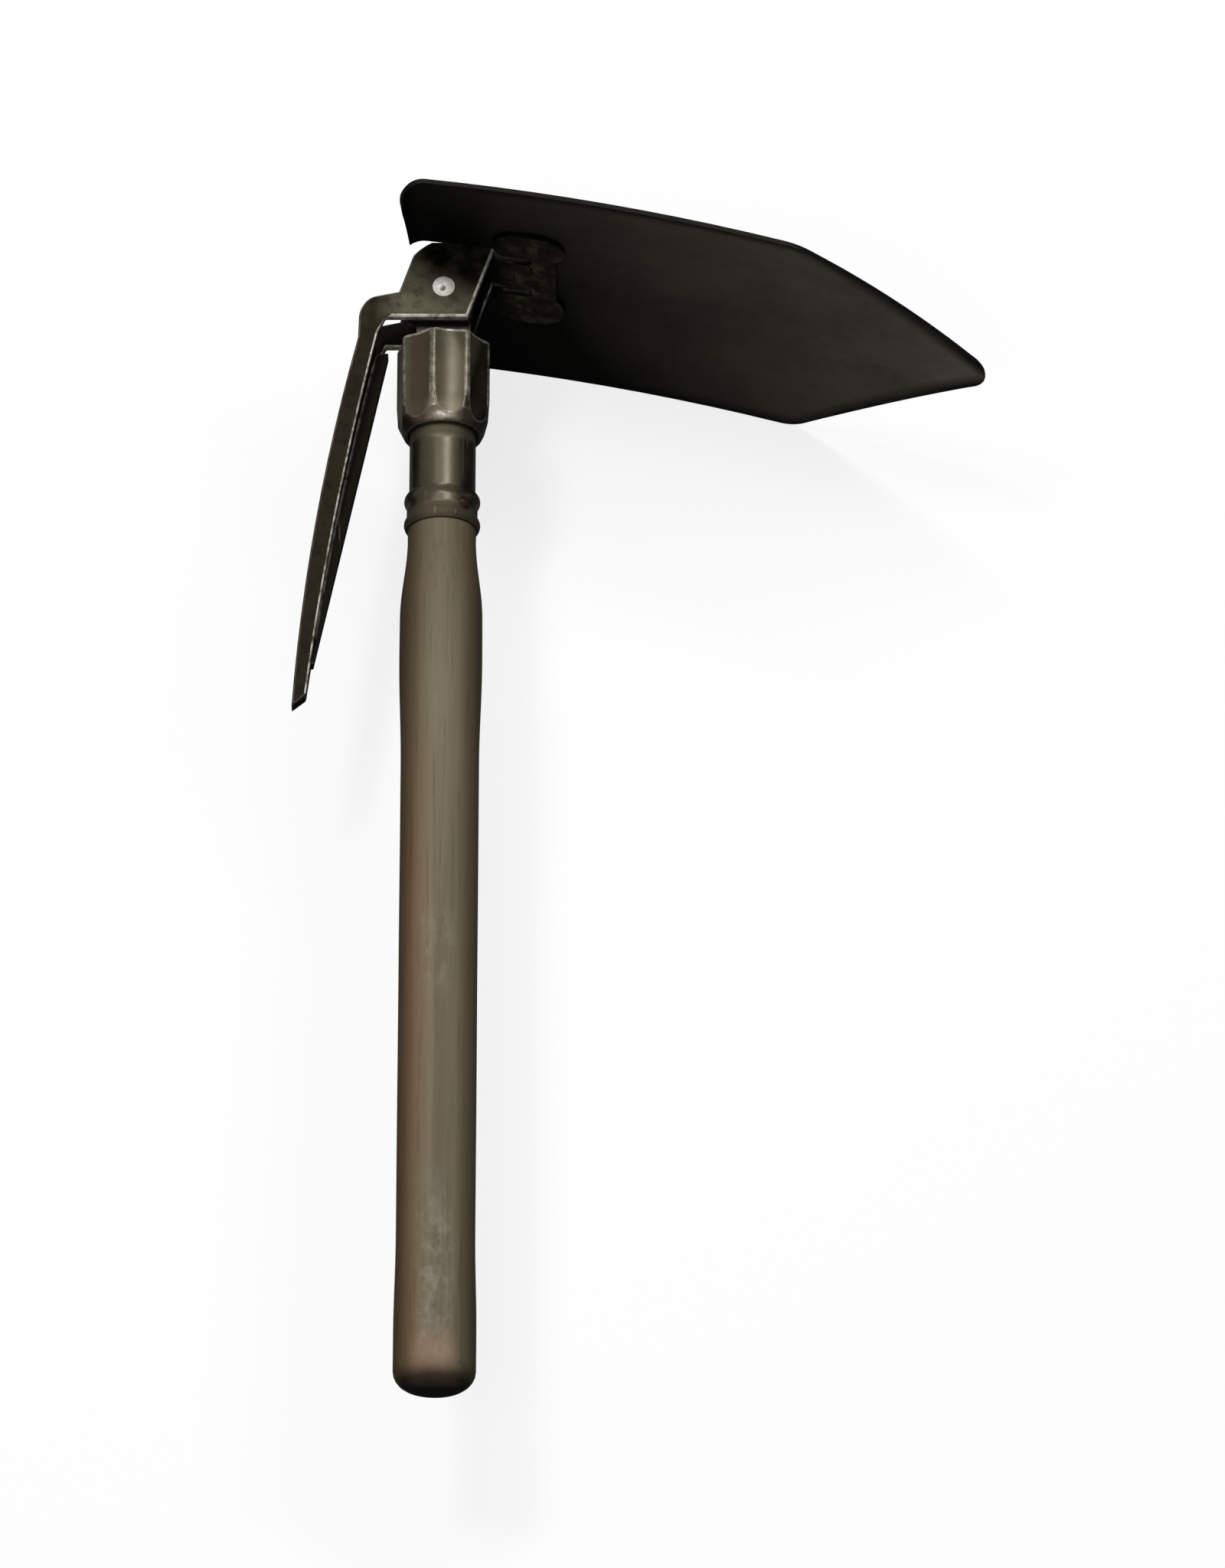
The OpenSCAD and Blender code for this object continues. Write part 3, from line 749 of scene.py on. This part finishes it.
def makeFerrule():
    look = ferruleLook
    low, high = look["beadAt"]
    beadEnd = high + look["beadRadius"] + look["beadClear"]

    def plain(along, turn):
        down = unit((high + look["easeOver"] - along) / (2.0 * look["easeOver"]))
        reach = look["tube"] + (look["skirt"] - look["tube"]) * down * down * (3.0 - 2.0 * down)
        flank = unit((abs(math.sin(turn)) - look["flankFrom"]) / look["flankOver"])
        for middle, rise in ((low, 1.0), (high, flank)):
            off = abs(along - middle)
            if off < look["beadRadius"]:
                bulge = look["beadMiddle"] + math.sqrt(look["beadRadius"] ** 2 - off ** 2)
            else:
                bulge = look["beadMiddle"] - look["beadFall"] * (off - look["beadRadius"])
            reach += (smoothMax(reach, bulge, look["fillet"]) - reach) * rise
        return reach

    def outside(along, radius, turn):
        if radius > 0.0:                 # the bore's rings
            return radius
        if along < look["threadFrom"]:
            return plain(along, turn)
        wave = (along / look["pitch"] - turn / (2.0 * math.pi)) % 1.0
        flank = unit(look["threadSteep"] * (1.0 - abs(2.0 * wave - 1.0)) - look["threadSink"])
        fade = unit(min((along - look["threadFrom"]) / look["threadIn"],
                        (look["top"] - along) / look["threadOut"]))
        return look["threadRoot"] + (look["threadCrest"] - look["threadRoot"]) * flank * fade

    places = [look["rim"]]
    while places[-1] < look["top"] - look["topSlack"]:
        inFine = places[-1] < beadEnd or places[-1] >= look["threadFrom"] - look["coarse"]
        step = look["fine"] if inFine else look["coarse"]
        places.append(min(look["top"], places[-1] + step))
    rings = [(along, 0.0) for along in places]
    rings += [(look["top"], look["bore"]), (look["rim"], look["bore"])]
    shape = latheShape(rings, look["segments"], outside, joined=True)
    addPiece("beadedFerrule", shape, wornPaint("tubePaint", look), "handle", "ferrule")


makeFerrule()
print("beadedFerrule made")


# fluted collar: the upper rim is rubbed more than the lands, and the feet of the flutes least
collarLook = {
    **oliveLook, "shine": 0.33,
    "rubbedAndHighlightRims": [                      # where a rim painted as bare metal begins and ends, and how far from the middle: the worn upper rim, then a painted highlight on the lower rim's crest
        ((0.4585, 0.4592), (0.4700, 0.4690), (0.0300, 0.0290)),
        # painted highlight: the middle of the lower rim's crest, laid on as bright bare metal
        ((0.4194, 0.4206), (0.4228, 0.4214), (0.0060, 0.0025)),
    ],
    "fades": [
        # painted light: the lower cone band is lighter where light from the front falls on it
        (paint(92, 84, 70), {"Y": 1.0}, (0.4300, 0.4255)),
        (paint(60, 50, 36), {"X": 1.0}, (-0.0056, -0.0080)),
        (paint(66, 64, 50), {"X": 1.0}, (-0.0125, -0.0140)),
        # painted shade: the right side (more so lower down), the sides of the lower rim and the strip
        # just under the rim are darkened
        (paintedShade, {"X": 1.0, "Y": -0.20}, (-0.0785, -0.0755)),
        (paintedShade, {"beside": 2.0, "Y": -2.0}, (-0.8218, -0.8148)),
        (paintedShade, {"Y": 1.0}, (0.4198, 0.4186)),
    ],
    "solid": "locking_collar", "body": "collar", "slot": "olive_paint",
    "passes": [(0.0005, anywhere)], "sharpFrom": 14.0,
    "turned": 4.2,                       # degrees about its own axis
    "rimFrom": 0.4585, "rimWear": 0.8,
    "landFrom": 0.4300, "landWear": 0.28, "footWear": 0.08,
    "faceOut": 0.0188, "faceFrom": 0.426, "faceWear": 0.26,
}


def collarWear(facing, place):
    look = collarLook
    if place.y > look["rimFrom"]:
        return look["rimWear"]
    return look["landWear"] if place.y > look["landFrom"] else look["footWear"]


def collarRub(facing, place):
    look = collarLook
    onLand = math.hypot(place.x, place.z) > look["faceOut"]
    return look["faceWear"] if onLand and look["faceFrom"] < place.y < look["rimFrom"] else 0.0


makeSteel("flutedCollar", collarLook, wornPaint("collarPaint", collarLook), collarWear, collarRub)


# dished blade: the cut edges and the outer side are darker; painted reflection lightens it towards the
# tip, and painted shade darkens it near the hinge
bladeLook = {
    **blackLook,
    "fades": [
        # painted reflection of the pale floor: lighter towards the tip and the near side
        (paint(128, 123, 108), {"X": 0.86, "Z": 0.5}, (0.018, 0.205)),
        # painted shade: the blade is darkened near the hinge
        (paint(4, 4, 3), {"X": 1.0}, (0.024, 0.004)),
        # a darker band along the side edges and along the point's edges
        (blackest, {"aside": 1.0}, (0.0710, 0.0775)),
        (blackest, {"X": 0.702, "aside": 0.712}, (0.1510, 0.1575)),
    ],
    "solid": "blade_plate", "body": "blade", "slot": "black_paint",
    "passes": [(0.00045, anywhere)], "sharpFrom": 30.0,
    "outerFacing": 0.2, "outerDark": 0.7,
    "sideFacing": 0.3, "pointFacing": 0.5, "edgeDark": 1.0,
}


# darker faces: the outer side, and the cut edges along the sides and the point
def bladeDark(facing, place):
    look = bladeLook
    if facing.y > look["outerFacing"]:
        return look["outerDark"]
    outward = facing.z if place.z > 0.0 else -facing.z
    onEdge = outward > look["sideFacing"] or facing.x > look["pointFacing"]
    return look["edgeDark"] if onEdge else 0.0


makeSteel("dishedBlade", bladeLook, wornPaint("blackPaint", bladeLook), nowhere, darkAt=bladeDark)


# saddle bracket: the foot's cut edges carry painted shade as a dark outline
bracketLook = {
    **blackLook, "patchScale": 150.0,
    "dark": paint(18, 17, 14), "tone": paint(40, 38, 31), "pale": paint(88, 83, 69),
    # painted shade: the rear near the hinge is darkened
    "fades": [(blackest, {"X": 1.0}, (0.030, 0.021))],
    "solid": "blade_bracket", "body": "blade", "slot": "black_paint",
    "passes": [(0.0005, anywhere)], "sharpFrom": 30.0,
    "edgeWear": 0.15,
    "footFrom": 0.02, "cutFacing": 0.4, "cutShade": 1.0,
}
bracketCoat = wornPaint("bracketPaint", bracketLook)


def bracketWear(facing, place):
    return bracketLook["edgeWear"]


# painted shade: the foot's cut edges are darkened into a shadow outline
def bracketShade(facing, place):
    look = bracketLook
    onCut = place.x > look["footFrom"] and abs(facing.y) < look["cutFacing"]
    return look["cutShade"] if onCut else 0.0


makeSteel("saddleBracket", bracketLook, bracketCoat, bracketWear, darkAt=bracketShade)


# forked pick: the ears' seats on the collar are bare, and the rib, the fork's inside and the arm's
# inner side carry painted shade
def onEarSeat(place):
    look = pickLook
    onSide = look["seatFrom"] < place.y < look["sideTo"] and place.x > look["sideFrom"]
    onFoot = look["seatFrom"] < place.y < look["seatTo"] and place.x > look["seatBack"]
    return place.z > look["forkHalf"] and (onSide or onFoot)


pickLook = {
    "dark": paint(26, 23, 16), "tone": paint(36, 32, 23), "pale": paint(47, 42, 31),
    "patchScale": 120.0, "rubScale": 210.0, "scratchRun": (300.0, 30.0, 300.0),
    "edgeRub": (0.28, 0.52), "scratchCut": (0.70, 0.78), "scratchShow": 0.3,
    "gloss": (0.62, 0.52), "shine": 0.04, "relief": 0.35, "darkening": paint(9, 9, 6), "grit": 0.5,
    "metal": 0.3,
    "fades": [
        (paint(100, 96, 78), {"Y": 1.0}, (0.461, 0.469)),
        (paint(34, 30, 21), {"X": 1.0}, (-0.016, -0.028)),
        # painted shadow: the top of the ear, under the blade, is darkened
        (paint(8, 8, 6), {"Y": 1.0, "X": 0.5}, (0.468, 0.489)),
    ],
    "solid": "pick_head", "body": "pick", "slot": "pick_paint",
    "passes": [(0.0012, onEarSeat), (0.0008, anywhere)], "sharpFrom": 18.0,
    "seatFrom": 0.462, "seatTo": 0.470, "seatBack": -0.0235, "seatDown": -0.7, "seatWear": 0.8,
    "sideTo": 0.486, "sideFrom": 0.008,
    "headFrom": 0.45, "headDown": -0.15, "headAhead": 0.3, "headWear": 1.2, "headBackWear": 0.15,
    "armFrom": 0.0035, "armAhead": 0.2, "armWear": 0.8, "armBackWear": 0.1,
    "forkHalf": 0.0150, "forkFacing": -1e-4,
    "ribHalf": 0.0034, "ribAhead": -0.2, "innerAhead": 0.6, "innerShade": 1.0,
}


def pickWear(facing, place):
    look = pickLook
    if place.y > look["headFrom"]:
        isWorn = facing.y < look["headDown"] or facing.x > look["headAhead"]
        return look["headWear"] if isWorn else look["headBackWear"]
    isWorn = facing.x > look["armAhead"] and place.z > look["armFrom"]
    return look["armWear"] if isWorn else look["armBackWear"]


def pickRub(facing, place):
    look = pickLook
    onSeat = facing.y < look["seatDown"] and place.y > look["seatFrom"]
    return look["seatWear"] if onSeat else 0.0


# painted shade: the fork's inside, the rib and the arm's inner side are darkened
def pickShade(facing, place):
    look = pickLook
    inFork = abs(place.z) < look["forkHalf"] and place.z * facing.z < look["forkFacing"]
    onRib = abs(place.z) < look["ribHalf"] and facing.x > look["ribAhead"]
    isInner = place.y < look["seatFrom"] and (onRib or facing.x > look["innerAhead"])
    return look["innerShade"] if inFork or isInner else 0.0


makeSteel("forkedPick", pickLook, wornPaint("pickPaint", pickLook), pickWear, pickRub, pickShade)


# hinge post, bare steel with two flats
postLook = {
    "tone": paint(92, 89, 82), "dull": paint(58, 55, 49), "gloss": (0.34, 0.5), "metal": 0.9,
    "solid": "hinge_post", "body": "handle", "slot": "dark_steel",
    "passes": [(0.0004, anywhere)], "sharpFrom": 30.0,
}
makeSteel("flattedPost", postLook, bareSteel("darkSteel", postLook), nowhere)


# rivets and pin keep their solids
ferruleRivetLook = {
    **oliveLook, "patchScale": 240.0, "shine": 0.08,
    "dark": paint(30, 21, 14), "tone": paint(38, 27, 18), "pale": paint(48, 37, 26),
}
# pale bare steel, painted near white as its glint
pivotLook = {
    "tone": paint(250, 249, 245), "dull": paint(222, 219, 212), "gloss": (0.26, 0.40), "metal": 0.12,
    # painted shade: a dark spot just below the middle of the rivet head
    "shadeSpot": (-0.0004, 0.4784), "shadeSpotReach": (0.0016, 0.0008), "shadeSpotTone": paint(84, 82, 77),
}
# steel with a painted glint, shared by the pivot rivet and the post pin
steelWithPaintedGlint = bareSteel("steelWithPaintedGlint", pivotLook)
rivetFinish = {
    "pivot_rivet": steelWithPaintedGlint,
    "post_pin": steelWithPaintedGlint,
    "ferrule_rivet": wornPaint("rivetPaint", ferruleRivetLook),
    "bracket_rivets": bracketCoat,
}
for name, finish in rivetFinish.items():
    nodes[name].data.materials.clear()
    nodes[name].data.materials.append(finish)
print("rivets finished")
